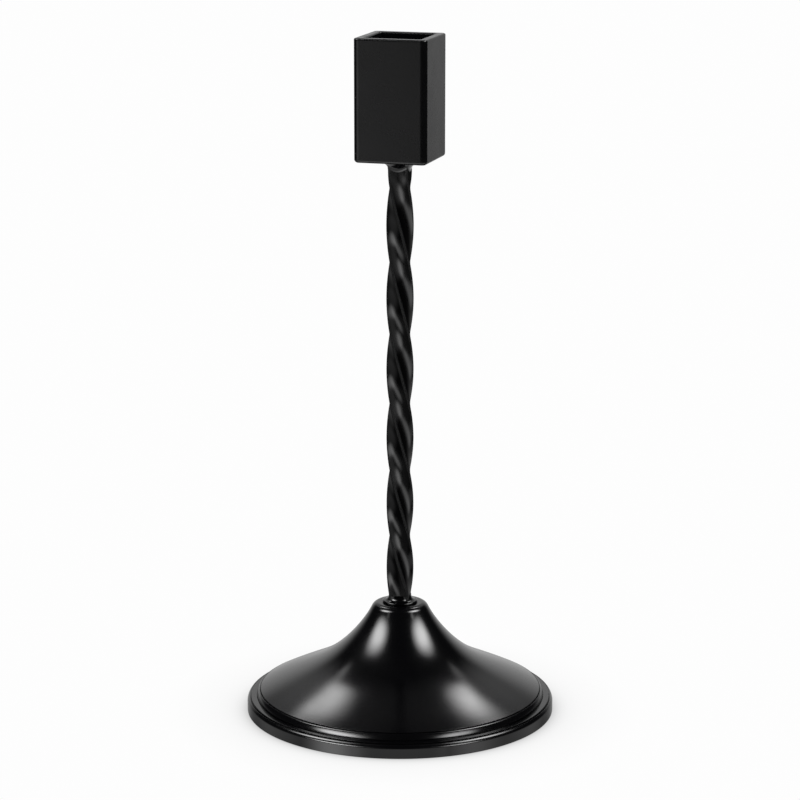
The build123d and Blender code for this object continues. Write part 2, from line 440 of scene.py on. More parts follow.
def soften(outline: Sequence[Point2], radius: float, steps: int = 3) -> list[Point2]:
    """Ease the sharp corners of a closed outline, as paint does.

    Args:
        outline: Corner points in order.
        radius: Length that each corner gives up on both sides.
        steps: Parts in each eased corner.

    Returns:
        The eased outline.
    """
    nothing, nearly_straight = 1e-6, radians(150)
    most_of_side, support_share = 0.35, 1.25
    eased: list[Point2] = []
    for i, here in enumerate(outline):
        corner = Vector(here)
        sides = [Vector(outline[i - 1]) - corner, Vector(outline[(i + 1) % len(outline)]) - corner]
        short = min(side.length for side in sides) < nothing
        if short or abs(sides[0].angle_signed(sides[1])) > nearly_straight:
            eased.append(here)
            continue
        start, end = (side.normalized() * min(radius, side.length * most_of_side) for side in sides)
        curve = bezier([tuple(corner + start), here, tuple(corner + end)], steps)
        eased += [tuple(corner + start * support_share), *curve, tuple(corner + end * support_share)]
    return eased


def new_object(name: str, data: ID) -> Object:
    """Make an object and put it in the scene.

    Args:
        name: Name of the object.
        data: Its mesh, light or camera.

    Returns:
        The object.
    """
    made = bpy.data.objects.new(name, data)
    bpy.context.scene.collection.objects.link(made)
    return made


def grid_piece(name: str, rows: Sequence[Sequence[Vector]], join_rows: bool = True) -> Object:
    """Make a piece from rows of points, each joined to the next one and round on itself.

    Seams and poles are closed, the faces are turned outwards, and the piece is shaded smooth.

    Args:
        name: Name of the piece.
        rows: Closed rows of points in millimetres, all of one length.
        join_rows: Whether the last row joins the first.

    Returns:
        The finished object.
    """
    same_place, sharp_over = 1e-7, radians(40)
    across = len(rows[0])
    points = [p * MM for row in rows for p in row]
    faces = []
    for i in range(len(rows) if join_rows else len(rows) - 1):
        low, high = i * across, (i + 1) % len(rows) * across
        for j in range(across):
            k = (j + 1) % across
            faces.append((low + j, low + k, high + k, high + j))
    mesh = bpy.data.meshes.new(name)
    mesh.from_pydata(points, [], faces)
    work = bmesh.new()
    work.from_mesh(mesh)
    bmesh.ops.remove_doubles(work, verts=work.verts, dist=same_place)
    bmesh.ops.dissolve_degenerate(work, edges=work.edges, dist=same_place)
    bmesh.ops.recalc_face_normals(work, faces=work.faces)
    work.to_mesh(mesh)
    work.free()
    mesh.shade_smooth()
    mesh.set_sharp_from_angle(angle=sharp_over)
    return new_object(name, mesh)


def spin(outline: Sequence[Point2], turn: float) -> list[Vector]:
    """Points of an outline of radius and height, at an angle in radians round the upright axis."""
    c, s = cos(turn), sin(turn)
    return [Vector((r * c, r * s, z)) for r, z in outline]


def lathe(name: str, outline_at: Callable[[float], Sequence[Point2]], segments: int) -> Object:
    """Turn a closed outline round the stem's axis.

    Args:
        name: Name of the piece.
        outline_at: Gives radius and height of each point, in millimetres, for an angle round the axis.
        segments: Parts round the axis.

    Returns:
        The finished object.
    """
    turns = [2 * pi * i / segments for i in range(segments)]
    return grid_piece(name, [spin(outline_at(turn), turn) for turn in turns])


def square_ring(half: float, corner: float, corner_steps: int = 8, side_steps: int = 6) -> list[Point2]:
    """Rounded square with a support point beside each corner.

    Args:
        half: Half of the side.
        corner: Radius of the corners.
        corner_steps: Parts in each corner.
        side_steps: Parts in each side between the support points.

    Returns:
        The points in order, counter-clockwise.
    """
    flat = half - corner
    inner = flat - SUPPORT
    side = [(half, -inner + 2 * inner * i / side_steps) for i in range(side_steps + 1)]
    side += arc((flat, flat), corner, 0, 90, corner_steps)
    ring: list[Point2] = []
    for c, s in ((1, 0), (0, 1), (-1, 0), (0, -1)):
        ring += [(x * c - y * s, x * s + y * c) for x, y in side]
    return ring


def square_reach(angle: float, half: float, corner: float) -> float:
    """Distance from the middle of a rounded square to its edge.

    Args:
        angle: Direction in radians from the middle of a side.
        half: Half of the side.
        corner: Radius of the corners.

    Returns:
        The distance along that direction.
    """
    quarter = pi / 2
    turn = abs((angle + quarter / 2) % quarter - quarter / 2)
    flat = half - corner
    if tan(turn) * half <= flat:
        return half / cos(turn)
    toward = flat * (cos(turn) + sin(turn))
    return toward + sqrt(max(corner**2 - 2 * flat**2 + toward**2, 0.0))


def place_piece(piece: Object, node: str, coat: Material) -> None:
    """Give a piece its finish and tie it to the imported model.

    Args:
        piece: The finished piece.
        node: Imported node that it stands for.
        coat: Material of the piece.
    """
    piece.data.materials.clear()
    piece.data.materials.append(coat)
    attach(piece, "root")
    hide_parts(node)
    LOG.info("%s: %d faces", piece.name, len(piece.data.polygons))


def new_geometry_tree(
    name: str, inputs: dict[str, str]
) -> tuple[NodeTree, NodeOutputs]:
    """Start a geometry tree with named inputs and one mesh as its output.

    Args:
        name: Name of the tree.
        inputs: Kind of socket for each input's name.

    Returns:
        The tree and the sockets that bring the inputs in.
    """
    tree = bpy.data.node_groups.new(name, "GeometryNodeTree")
    for label, kind in inputs.items():
        tree.interface.new_socket(name=label, in_out="INPUT", socket_type=kind)
    tree.interface.new_socket(name="Mesh", in_out="OUTPUT", socket_type="NodeSocketGeometry")
    return tree, add_node(tree, "NodeGroupInput").outputs


def close_geometry_tree(tree: NodeTree, mesh: Node, coat: NodeSocket) -> None:
    """End a geometry tree with real geometry in its material.

    Args:
        tree: Geometry tree.
        mesh: Node that gives the geometry.
        coat: Socket that gives the material.
    """
    real = add_node(tree, "GeometryNodeRealizeInstances", {0: mesh})
    coated = add_node(tree, "GeometryNodeSetMaterial", {"Geometry": real, "Material": coat})
    add_node(tree, "NodeGroupOutput", {0: coated})


def bake_nodes(piece: Object, tree: NodeTree, values: dict[str, Any]) -> Object:
    """Run a geometry tree on a piece and keep the result as its plain mesh.

    Args:
        piece: Object that gets the mesh.
        tree: Geometry tree.
        values: Value for each input's name, which is set by the input's identifier.

    Returns:
        The same object, with no modifier.
    """
    modifier = piece.modifiers.new(tree.name, "NODES")
    modifier.node_group = tree
    for item in tree.interface.items_tree:
        if item.name in values:
            modifier[item.identifier] = values[item.name]
    depsgraph = bpy.context.evaluated_depsgraph_get()
    depsgraph.update()
    mesh = bpy.data.meshes.new_from_object(
        piece.evaluated_get(depsgraph), preserve_all_data_layers=True, depsgraph=depsgraph
    )
    piece.modifiers.remove(modifier)
    piece.data = mesh
    return piece


@dataclass
class Cup:
    """Square tube, its floor and the weld between them, in millimetres."""

    side: float = 30.0
    wall: float = 3.5
    height: float = 49.25
    corner: float = 2.2
    bore_corner: float = 0.8
    rim_round: float = 0.7
    foot_round: float = 1.4
    bottom: float = 229.55
    floor_thickness: float = 3.2
    floor_clearance: float = 0.1
    seat_radius: float = 4.8
    seat_bevel: Point2 = (0.2, 0.05)
    hole_radius: float = 2.6
    weld: float = 1.0
    weld_steps: int = 6
    ripple: float = 0.05
    ripple_length: float = 1.7

    def build_tube(self) -> Object:
        """Build the tube as a stack of rounded squares, outside up and inside down.

        Returns:
            The finished tube.
        """
        half, bore = self.side / 2, self.side / 2 - self.wall
        top, rows_up = self.bottom + self.height, 8
        levels: list[tuple[float, float, float]] = []
        for x, z in arc((half - self.foot_round, self.bottom + self.foot_round), self.foot_round, -90, 90, 7):
            levels.append((x, self.corner - (half - x), z))
        low, high = self.bottom + self.foot_round + SUPPORT, top - self.rim_round - SUPPORT
        levels += [(half, self.corner, low + (high - low) * i / rows_up) for i in range(rows_up + 1)]
        for x, z in arc((half - self.rim_round, top - self.rim_round), self.rim_round, 0, 90, 6):
            levels.append((x, self.corner - (half - x), z))
        for x, z in arc((bore + self.rim_round, top - self.rim_round), self.rim_round, 90, 90, 6):
            levels.append((x, self.bore_corner + (x - bore), z))
        low = self.bottom + SUPPORT
        levels += [(bore, self.bore_corner, high - (high - low) * i / rows_up) for i in range(rows_up + 1)]
        levels.append((bore, self.bore_corner, self.bottom))
        rows = [[Vector((x, y, z)) for x, y in square_ring(h, c)] for h, c, z in levels]
        return grid_piece("powder_coated_tube", rows)

    def build_floor(self) -> Object:
        """Build the floor plate with its screw seat and the weld that rises to the tube's wall.

        Returns:
            The finished plate.
        """
        edge = self.side / 2 - self.wall - self.floor_clearance
        top = self.bottom + self.floor_thickness
        outer = square_ring(edge, self.bore_corner)
        angles = [atan2(y, x) for x, y in outer]

        def circle(radius: float, z: float) -> list[Vector]:
            """Points of a circle in the directions of the plate's edge."""
            return [Vector((radius * cos(a), radius * sin(a), z)) for a in angles]

        rows = [[Vector((x, y, z)) for x, y in outer] for z in (self.bottom, top + self.weld)]
        for i in range(1, self.weld_steps + 1):
            lean = radians(90 * i / self.weld_steps)
            ring = square_ring(edge - self.weld * (1 - cos(lean)), self.bore_corner)
            rise = top + self.weld * (1 - sin(lean))
            wave = [sin(2 * pi * (x + y) / self.ripple_length) for x, y in outer]
            swell = self.ripple * sin(2 * lean)
            rows.append([Vector((x, y, rise + swell * w)) for (x, y), w in zip(ring, wave)])
        mouth = circle(self.seat_radius + self.seat_bevel[0], top)
        shelf = square_ring(edge - self.weld, self.bore_corner)
        for share in (0.98, 0.75, 0.5, 0.25):
            rows.append([Vector((x, y, top)).lerp(m, 1 - share) for (x, y), m in zip(shelf, mouth)])
        cone_foot = top - (self.seat_radius - self.hole_radius)
        rows += [mouth, circle(self.seat_radius, top - self.seat_bevel[1])]
        rows += [circle(self.hole_radius, cone_foot), circle(self.hole_radius, self.bottom)]
        return grid_piece("cup_floor_plate", rows)

    def dress(self, finishes: Finishes) -> None:
        """Build and place both pieces."""
        place_piece(self.build_tube(), "cup_tube", finishes.powder)
        place_piece(self.build_floor(), "cup_floor", finishes.powder)


@dataclass
class Stem:
    """Twisted square bar and the cone under the cup, in millimetres."""

    width: float = 8.26
    corner: float = 0.8
    foot: float = 45.7
    twist_foot: float = 49.0
    twist_length: float = 177.25
    run_in: float = 7.5
    quarter_top: float = 30.7
    quarter_foot: float = 26.7
    top_angle: float = 3.3
    top: float = 229.55
    ring_spacing: float = 0.5
    clearance: float = 0.06
    cone_foot_lip: float = 0.3
    cone_wall: float = 2.5
    cone_fillet: float = 1.2
    cone_hem: float = 0.03

    @property
    def twist_top(self) -> float:
        """Height where the twist starts."""
        return self.twist_foot + self.twist_length

    @property
    def corner_reach(self) -> float:
        """Distance from the bar's axis to the top of its rounded corners."""
        return (self.width / 2 - self.corner) * sqrt(2) + self.corner

    def turn_at(self, depth: float) -> float:
        """Angle of the bar's section, in degrees.

        Args:
            depth: Distance below the top of the twist, in millimetres.

        Returns:
            The angle, which grows downwards.
        """
        share = min(depth / self.run_in, 1.0)
        run = self.run_in * (share**3 - share**4 / 2) + max(depth - self.run_in, 0.0)
        whole = self.twist_length - self.run_in / 2
        tightening = (1 / self.quarter_foot - 1 / self.quarter_top) * run**2 / (2 * whole)
        return self.top_angle + 90 * (run / self.quarter_top + tightening)

    def twist_tree(self) -> NodeTree:
        """Make the tree that draws a straight bar and winds it up.

        Returns:
            The tree.
        """
        names = ["Bar Width", "Corner Radius", "Foot Height", "Top Height", "Twist Top", "Twist Length"]
        names += ["Run In", "Quarter Turn Top", "Quarter Turn Foot", "Top Angle"]
        inputs = dict.fromkeys(names, "NodeSocketFloat")
        inputs |= {"Rings": "NodeSocketInt", "Coat": "NodeSocketMaterial"}
        tree, given = new_geometry_tree("twisted_bar", inputs)

        def maths(operation: str, first: Any, second: Any = 0.0) -> Node:
            """Add one step of a sum."""
            return add_node(tree, MATH, {0: first, 1: second}, operation=operation)

        # The straight bar: a filleted square drawn along an upright line
        low = add_node(tree, "ShaderNodeCombineXYZ", {"Z": given["Foot Height"]})
        high = add_node(tree, "ShaderNodeCombineXYZ", {"Z": given["Top Height"]})
        line = add_node(tree, "GeometryNodeCurvePrimitiveLine", {"Start": low, "End": high})
        path = add_node(tree, "GeometryNodeResampleCurve", {"Curve": line, "Count": given["Rings"]})
        sides = dict.fromkeys(("Width", "Height"), given["Bar Width"])
        square = add_node(tree, "GeometryNodeCurvePrimitiveQuadrilateral", sides)
        corners = {"Curve": square, "Count": 6, "Radius": given["Corner Radius"]}
        rounded = add_node(tree, "GeometryNodeFilletCurve", corners, mode="POLY")
        section = add_node(tree, "GeometryNodeSubdivideCurve", {"Curve": rounded, "Cuts": 4})
        drawn = {"Curve": path, "Profile Curve": section, "Fill Caps": True}
        straight = add_node(tree, "GeometryNodeCurveToMesh", drawn)
        place = add_node(tree, "GeometryNodeInputPosition")
        marked = add_node(
            tree,
            "GeometryNodeStoreNamedAttribute",
            {"Geometry": straight, "Name": "unwound", "Value": place},
            data_type="FLOAT_VECTOR",
            domain="POINT",
        )

        # How far the section has turned at each depth: a gentle start, then quarter turns that shorten
        height = add_node(tree, "ShaderNodeSeparateXYZ", {0: place}).outputs["Z"]
        sunk = maths("MAXIMUM", maths("SUBTRACT", given["Twist Top"], height))
        depth = maths("MINIMUM", sunk, given["Twist Length"])
        share = maths("MINIMUM", maths("DIVIDE", depth, given["Run In"]), 1.0)
        slower = maths("MULTIPLY", maths("POWER", share, 4.0), 0.5)
        eased = maths("SUBTRACT", maths("POWER", share, 3.0), slower)
        rest = maths("MAXIMUM", maths("SUBTRACT", depth, given["Run In"]))
        run = maths("ADD", maths("MULTIPLY", given["Run In"], eased), rest)
        whole = maths("SUBTRACT", given["Twist Length"], maths("MULTIPLY", given["Run In"], 0.5))
        slow = maths("DIVIDE", 1.0, given["Quarter Turn Top"])
        quick = maths("DIVIDE", 1.0, given["Quarter Turn Foot"])
        growth = maths("DIVIDE", maths("SUBTRACT", quick, slow), maths("MULTIPLY", whole, 2.0))
        tightening = maths("MULTIPLY", growth, maths("MULTIPLY", run, run))
        turns = maths("ADD", maths("MULTIPLY", run, slow), tightening)
        angle = maths("ADD", given["Top Angle"], maths("MULTIPLY", turns, pi / 2))
        turned = {"Vector": place, "Angle": angle}
        wound = add_node(tree, "ShaderNodeVectorRotate", turned, rotation_type="Z_AXIS")
        twisted = add_node(tree, "GeometryNodeSetPosition", {"Geometry": marked, "Position": wound})
        smooth = add_node(tree, "GeometryNodeSetShadeSmooth", {0: twisted})
        close_geometry_tree(tree, smooth, given["Coat"])
        return tree

    def build_bar(self, coat: Material) -> Object:
        """Build the twisted bar.

        Args:
            coat: Material of the bar.

        Returns:
            The bar as a plain mesh object.
        """
        values = {
            "Bar Width": self.width * MM,
            "Corner Radius": self.corner * MM,
            "Foot Height": self.foot * MM,
            "Top Height": self.top * MM,
            "Twist Top": self.twist_top * MM,
            "Twist Length": self.twist_length * MM,
            "Run In": self.run_in * MM,
            "Quarter Turn Top": self.quarter_top * MM,
            "Quarter Turn Foot": self.quarter_foot * MM,
            "Top Angle": radians(self.top_angle),
            "Rings": round((self.top - self.foot) / self.ring_spacing) + 1,
            "Coat": coat,
        }
        bar = new_object("twisted_bar", bpy.data.meshes.new("twisted_bar"))
        return bake_nodes(bar, self.twist_tree(), values)

    def collar(
        self,
        name: str,
        angle: float,
        floor: float,
        lower: Sequence[Point2],
        upper: Callable[[float], Sequence[Point2]],
    ) -> Object:
        """Build a turned collar whose square hole fits the bar.

        Args:
            name: Name of the piece.
            angle: Turn of the hole in degrees.
            floor: Height of the face where the hole is whole.
            lower: Part of the outline that the hole does not reach.
            upper: Rest of the outline, for a reach of the hole, ending at the hole's wall.

        Returns:
            The finished collar.
        """
        half, corner = self.width / 2 + self.clearance, self.corner + self.clearance

        def outline(turn: float) -> list[Point2]:
            """Outline of the collar at an angle round the bar."""
            reach = square_reach(turn - radians(angle), half, corner)
            return [(reach, floor), *lower, *upper(reach)]

        return lathe(name, outline, COLLAR_ROUND)

    def build_cone(self) -> Object:
        """Build the cone under the cup, whose edge rises and falls where it meets the bar's flats.

        Returns:
            The finished cone.
        """
        foot, wide = self.width / 2 + self.cone_foot_lip, self.corner_reach + self.cone_wall
        rise = (self.top - self.twist_top) / (wide - foot)
        steps = 6

        def cone(hole: float) -> list[Point2]:
            """Side of the cone and the fillet of paint at its edge.

            Args:
                hole: Reach of the hole.

            Returns:
                Radius and height of each point.
            """
            low = self.twist_top + (hole - foot) * rise
            out = self.cone_fillet / hypot(1.0, rise)
            end = (hole + out, low + out * rise)
            run = (end[0] - wide, end[1] - self.top)
            sides = [(wide + run[0] * i / steps, self.top + run[1] * i / steps) for i in range(1, steps)]
            wall, hem = hole + self.cone_hem, low - self.cone_fillet
            return [*sides, *bezier([end, (wall, low), (wall, hem)], 8), (hole, hem)]

        return self.collar("conical_collar", self.top_angle, self.top, [(wide, self.top)], cone)

    def dress(self, finishes: Finishes) -> None:
        """Build and place both pieces."""
        place_piece(self.build_bar(finishes.satin), "twisted_stem", finishes.satin)
        place_piece(self.build_cone(), "upper_collar", finishes.gloss)


@dataclass
class Foot:
    """Spun bell, the ferrule on it and the felt under it, in millimetres."""

    wall: float = 1.2
    top: float = 45.7
    lip_bottom: float = 0.8
    bolt_hole: float = 2.75
    shoulder_flat: float = 8.68
    shoulder_round: float = 3.25
    neck_angle: float = 64.4
    neck_pull: float = 11.0
    waist: Point2 = (30.8, 18.8)
    skirt_angle: float = 27.3
    skirt_pull: float = 25.7
    bell_radius: float = 59.4
    edge_round: float = 1.9
    edge_lift: float = 1.0
    skirt_groove: Sequence[Point2] = ((57.75, 9.11), (57.58, 8.5), (58.3, 8.83))
    band_rolls: Sequence[tuple[float, float]] = ((0.9, 20.0), (13.0, 11.5))
    band_nick: Point2 = (59.1, 5.9)
    ledge_start: Point2 = (59.42, 6.15)
    ledge_tilt: float = 89.5
    ledge_rolls: Sequence[tuple[float, float]] = ((60.0, 87.3),)
    ledge_groove: Point2 = (61.62, 5.4)
    flange_radius: float = 63.3
    flange_height: float = 5.3
    flange_round: float = 2.3
    flange_tilt: float = 50.0
    wall_top: float = 3.95
    wall_foot: float = 0.15
    foot_width: float = 0.25
    lip_width: float = 9.0
    lip_round: float = 0.12
    crease: float = 0.06
    felt_thickness: float = 0.8
    felt_inset: float = 0.3
    felt_round: float = 0.1
    ferrule_wall: float = 1.69
    ferrule_bead: float = 1.0
    ferrule_cove: float = 2.1
    ferrule_lip: float = 0.47
    ferrule_land: float = 0.2

    @property
    def ledge(self) -> float:
        """Height of the flange's top."""
        return self.lip_bottom + self.flange_height

    @property
    def felt_radius(self) -> float:
        """Radius of the felt disc."""
        return self.flange_radius - self.felt_inset

    def bell_line(self, inset: float, steps: int) -> list[Point2]:
        """Shoulder and trumpet of the bell, from the top down.

        Args:
            inset: Distance inside the outer face.
            steps: Parts in the trumpet.

        Returns:
            Radius and height of each point.
        """
        neck, skirt = radians(self.neck_angle), radians(self.skirt_angle)
        middle = (self.shoulder_flat, self.top - self.shoulder_round)
        shoulder = arc(middle, self.shoulder_round - inset, 90, -self.neck_angle, 14)
        start = shoulder[-1]
        hem = self.edge_round - inset
        end = (
            self.bell_radius - self.edge_round + hem * sin(skirt),
            self.ledge + self.edge_lift + hem * cos(skirt),
        )
        lean = (neck + skirt) / 2
        waist = (self.waist[0] - inset * sin(lean), self.waist[1] - inset * cos(lean))
        pulled = (start[0] + self.neck_pull * cos(neck), start[1] - self.neck_pull * sin(neck))
        drawn = (end[0] - self.skirt_pull * cos(skirt), end[1] + self.skirt_pull * sin(skirt))
        return shoulder + bezier([start, pulled, waist, drawn, end], steps)[1:]

    @staticmethod
    def roll(start: Point2, tilt: float, rolls: Sequence[tuple[float, float]]) -> list[Point2]:
        """Roll on over roundings that follow each other.

        Args:
            start: Radius and height where the first rounding starts.
            tilt: Angle in degrees at which the face looks up there.
            rolls: Radius of each rounding, and the angle at which its end looks up.

        Returns:
            Points after the start.
        """
        points = [start]
        for radius, end_tilt in rolls:
            out = (cos(radians(tilt)), sin(radians(tilt)))
            middle = (points[-1][0] - radius * out[0], points[-1][1] - radius * out[1])
            points += arc(middle, radius, tilt, end_tilt - tilt, 8)[1:]
            tilt = end_tilt
        return points[1:]

    def build_bell(self) -> Object:
        """Build the bell with its stepped rim and turned-in lip as one turned sheet.

        Returns:
            The finished bell.
        """
        outer = [(self.bolt_hole, self.top)]
        outer += [point for point in self.bell_line(0.0, 72) if point[0] < self.skirt_groove[0][0]]
        outer += self.skirt_groove
        outer += self.roll(outer[-1], 90 - self.skirt_angle, self.band_rolls)
        outer += [self.band_nick, self.ledge_start]
        outer += self.roll(outer[-1], self.ledge_tilt, self.ledge_rolls)
        outer.append(self.ledge_groove)
        bend = (self.flange_radius - self.flange_round, self.wall_top)
        outer += arc(bend, self.flange_round, self.flange_tilt, -self.flange_tilt, 16)
        hem = (self.flange_radius - self.lip_round, self.wall_foot + self.lip_round)
        outer += [(self.flange_radius, z) for z in (self.wall_top - self.crease, hem[1] + self.crease)]
        outer += arc(hem, self.lip_round, 0, -90, 4)
        outer += [(self.flange_radius - self.foot_width, z) for z in (self.wall_foot, self.lip_bottom)]
        inside = self.flange_radius - self.wall
        floor, ceiling = self.lip_bottom + self.wall, self.ledge - self.wall
        inner = [(self.flange_radius - self.lip_width, z) for z in (self.lip_bottom, floor)]
        inner += [(inside, floor), (inside, ceiling), (self.bell_radius - self.wall, ceiling)]
        inner += [*reversed(self.bell_line(self.wall, 36)), (self.bolt_hole, self.top - self.wall)]
        outline = soften(outer + inner, self.crease)
        return lathe("spun_bell", lambda turn: outline, LARGE_ROUND)

    def build_ferrule(self, stem: Stem) -> Object:
        """Build the ferrule: a bead, a cove and a short land round the bar.

        Args:
            stem: Stem whose bar goes through the ferrule.

        Returns:
            The finished ferrule.
        """
        bead = self.ferrule_bead / 2
        land = stem.width / 2 + self.ferrule_lip
        cove_top = self.top + self.ferrule_bead + self.ferrule_cove
        cove_middle = (land + self.ferrule_cove, cove_top)
        bead_middle = (stem.corner_reach + self.ferrule_wall - bead, self.top + bead)
        lower = arc(bead_middle, bead, -90, 180, 12)

        def cove(hole: float) -> list[Point2]:
            """Cove and land, cut off where the hole reaches further out than the land.

            Args:
                hole: Reach of the hole.

            Returns:
                Radius and height of each point.
            """
            cut = max(hole, land)
            level = max(-1.0, min(1.0, (cut - cove_middle[0]) / self.ferrule_cove))
            curve = arc(cove_middle, self.ferrule_cove, 270, -(degrees(acos(level)) - 90), 8)
            high = cove_top + self.ferrule_land if hole < land else curve[-1][1]
            return [*curve, (cut, high), (hole, high)]

        return stem.collar("bead_collar", stem.turn_at(stem.twist_length), self.top, lower, cove)

    def build_felt(self) -> Object:
        """Build the felt disc, with soft edges.

        Returns:
            The finished disc.
        """
        radii = [self.felt_radius * share for share in (0.0, 0.2, 0.4, 0.6, 0.8, 0.96, 1.0)]
        outline = [(radius, 0.0) for radius in radii]
        outline += [(radius, self.felt_thickness) for radius in reversed(radii)]
        softened = soften(outline, self.felt_round)
        return lathe("felt_disc", lambda turn: softened, LARGE_ROUND)

    def dress(self, finishes: Finishes, stem: Stem) -> None:
        """Build and place the pieces.

        Args:
            finishes: Materials of the candlestick.
            stem: Stem whose bar goes through the ferrule.
        """
        place_piece(self.build_bell(), "base_shell", finishes.gloss)
        place_piece(self.build_ferrule(stem), "lower_collar", finishes.gloss)
        felt = self.build_felt()
        place_piece(felt, "felt_pad", finishes.felt)


@dataclass
class Fasteners:
    """Countersunk screw in the cup, and the hexagon bolt and its washers inside the foot, in millimetres."""

    screw_top: float = 232.75
    screw_length: float = 16.0
    screw_plain: float = 0.8
    screw_thread: float = 11.6
    shank: float = 2.5
    head: float = 4.7
    head_edge: Point2 = (0.12, 0.06)
    socket_across: float = 3.0
    socket_mouth: float = 1.98
    socket_bevel: float = 0.25
    socket_depth: float = 1.8
    socket_cone: float = 0.3
    pitch: float = 0.8
    thread_depth: float = 0.42
    thread_run_out: float = 0.4
    tip_bevel: float = 0.5
    tip_plain: float = 0.6
    clamp_radius: float = 7.0
    clamp_low: float = 43.0
    clamp_high: float = 44.5
    clamp_round: float = 0.25
    hole: float = 2.75
    spring_radius: float = 4.6
    spring_slit: float = 1.0
    spring_round: float = 0.15
    spring_steps: int = 72
    bolt_seat: float = 41.6
    bolt_length: float = 20.0
    bolt_plain: float = 2.2
    bolt_across: float = 8.0
    bolt_head: float = 3.5
    bolt_face: float = 3.8
    bolt_bevel_slope: float = 0.55
    bolt_edge: Point2 = (0.1, 0.15)

    def thread_tree(self) -> NodeTree:
        """Make the tree that winds a thread round a plain core.

        Returns:
            The tree.
        """
        lengths = ("Thread Radius", "Pitch", "Length", "Start Height", "Depth")
        inputs = {"Core": "NodeSocketGeometry", **dict.fromkeys(lengths, "NodeSocketFloat")}
        inputs["Plating"] = "NodeSocketMaterial"
        tree, given = new_geometry_tree("screw_thread", inputs)
        turns = add_node(tree, MATH, {0: given["Length"], 1: given["Pitch"]}, operation="DIVIDE")
        line = add_node(tree, MATH, {0: given["Thread Radius"], 1: given["Depth"]}, operation="SUBTRACT")
        winding = {"Resolution": 40, "Rotations": turns, "Height": given["Length"]}
        winding |= {"Start Radius": line, "End Radius": line}
        helix = add_node(tree, "GeometryNodeCurveSpiral", winding)
        lift = add_node(tree, "ShaderNodeCombineXYZ", {"Z": given["Start Height"]})
        raised = add_node(tree, "GeometryNodeTransform", {"Geometry": helix, "Translation": lift})
        upright = add_node(tree, "GeometryNodeSetCurveNormal", {"Curve": raised}, mode="Z_UP")
        diamond = {"Resolution": 4, "Radius": given["Depth"]}
        ridge = add_node(tree, "GeometryNodeCurvePrimitiveCircle", diamond)
        drawn = {"Curve": upright, "Profile Curve": ridge, "Fill Caps": True}
        thread = add_node(tree, "GeometryNodeCurveToMesh", drawn)
        both = add_node(tree, "GeometryNodeJoinGeometry", {0: thread})
        tree.links.new(given["Core"], both.inputs[0])
        close_geometry_tree(tree, both, given["Plating"])
        return tree

    @staticmethod
    def hexagon(across: float, turn: float) -> float:
        """Distance from the middle of a hexagon to its edge at a turn in radians."""
        sixth = pi / 3
        return across / 2 / cos((turn + sixth / 2) % sixth - sixth / 2)

    def build_screw(self) -> Object:
        """Build the countersunk screw's core with its hexagon socket.

        Returns:
            The screw without its thread.
        """
        top, low = self.screw_top, self.screw_top - self.screw_length
        core, bevel = self.shank - self.thread_depth, self.tip_bevel
        cone_foot = top - (self.head - self.shank)
        plain = cone_foot - self.screw_plain
        floor = top - self.socket_depth

        def outline(turn: float) -> list[Point2]:
            """Outline of the screw, with the socket's flats.

            Args:
                turn: Angle in radians round the axis.

            Returns:
                Radius and height of each point.
            """
            key = self.hexagon(self.socket_across, turn)
            shaft = [(0.0, low), (core - bevel, low), (core, low + bevel)]
            shaft += [(core, plain - self.thread_run_out), (self.shank, plain), (self.shank, cone_foot)]
            face = [(self.head, top - self.head_edge[1]), (self.head - self.head_edge[0], top)]
            face += [(self.socket_mouth, top)]
            socket = [(key, top - self.socket_bevel), (key, floor + self.socket_cone), (0.0, floor)]
            return shaft + face + socket

        return lathe("countersunk_screw", outline, SMALL_ROUND)

    def build_bolt(self) -> Object:
        """Build the hexagon bolt's core, with the chamfer that rounds the head's corners.

        Returns:
            The bolt without its thread.
        """
        low, seat = self.bolt_seat - self.bolt_head, self.bolt_seat
        tip, plain = seat + self.bolt_length, seat + self.bolt_plain
        core, bevel = self.shank - self.thread_depth, self.tip_bevel

        def outline(turn: float) -> list[Point2]:
            """Outline of the bolt, with the head's flats.

            Args:
                turn: Angle in radians round the axis.

            Returns:
                Radius and height of each point.
            """
            flat = self.hexagon(self.bolt_across, turn)
            slope = (flat - self.bolt_face) * self.bolt_bevel_slope
            head = [(0.0, low), (self.bolt_face, low), (flat, low + slope), (flat, seat - self.bolt_edge[1])]
            head += [(flat - self.bolt_edge[0], seat)]
            shaft = [(self.shank, seat), (self.shank, plain), (core, plain + self.thread_run_out)]
            return head + shaft + [(core, tip - bevel), (core - bevel, tip), (0.0, tip)]

        return lathe("hexagon_bolt", outline, SMALL_ROUND)

    def build_clamp_washer(self) -> Object:
        """Build the thick washer, with edges rounded by the punch.

        Returns:
            The finished washer.
        """
        outline = [(self.hole, self.clamp_low), (self.clamp_radius, self.clamp_low)]
        outline += [(self.clamp_radius, self.clamp_high), (self.hole, self.clamp_high)]
        punched = soften(outline, self.clamp_round, 4)
        return lathe("thick_washer", lambda turn: punched, SMALL_ROUND)

    def build_spring_washer(self) -> Object:
        """Build the split washer as a bar of square section bent round, with a gap between its ends.

        Returns:
            The finished washer.
        """
        gap = self.spring_slit / (self.hole + self.spring_radius)
        corners = [(self.hole, self.bolt_seat), (self.spring_radius, self.bolt_seat)]
        corners += [(self.spring_radius, self.clamp_low), (self.hole, self.clamp_low)]
        section = soften(corners, self.spring_round)
        turns = [gap + (2 * pi - 2 * gap) * i / self.spring_steps for i in range(self.spring_steps + 1)]
        rows = [spin(section, turn) for turn in turns]
        caps = [[sum(end, Vector()) / len(end) for _ in end] for end in (rows[0], rows[-1])]
        return grid_piece("split_washer", [caps[0], *rows, caps[1]], join_rows=False)

